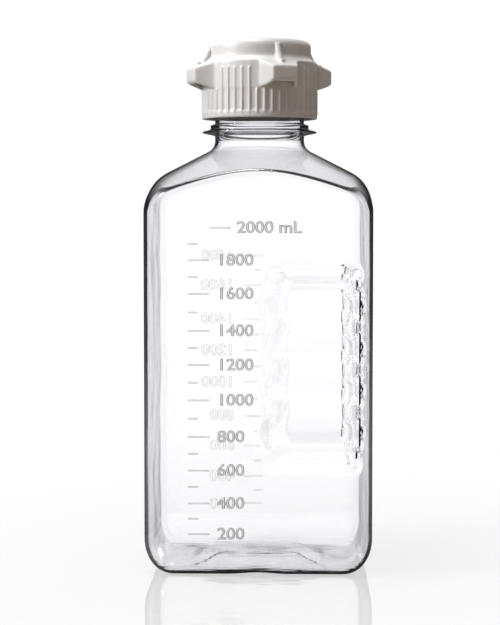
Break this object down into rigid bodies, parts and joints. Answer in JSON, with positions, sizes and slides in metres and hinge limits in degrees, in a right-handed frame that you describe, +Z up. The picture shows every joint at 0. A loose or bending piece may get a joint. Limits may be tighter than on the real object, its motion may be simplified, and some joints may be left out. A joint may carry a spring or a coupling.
{
  "type": "graduated screw-cap bottle",
  "caption": "Clear rectangular graduated bottle with a pressed hand grip, a supported neck and a four-lugged screw cap with an inner sealing disc.",
  "frame": {"origin": "centre of the outline on the plane that the bottle rests on", "axes": "+Z up the bottle's axis through the neck, +X towards the hand grip's side, front face with the readable scale towards -Y"},
  "size_m": [0.1234, 0.1, 0.2894],
  "materials": {
    "clear_plastic": "polished, see-through, faint violet tint in thick edges",
    "cap_plastic": "satin moulded, warm light grey",
    "liner_rubber": "matt, soft"
  },
  "bodies": {
    "bottle": {"bottle": "clear_plastic"},
    "liner": {"sealing_liner": "liner_rubber"},
    "cap": {"screw_cap": "cap_plastic"}
  },
  "joints": [
    {"name": "cap_lift", "type": "slide", "parent": "bottle", "child": "liner", "axis": [0, 0, 1], "range_m": [0, 0.04201]},
    {"name": "cap_turn", "type": "hinge", "parent": "liner", "child": "cap", "pos_m": [0, 0, 0.27], "axis": [0, 0, 1], "range_deg": [0, 2520]}
  ],
  "couplings": [
    {"joint": "cap_lift", "follows": "cap_turn", "m_per_rad": 0.00095493}
  ]
}
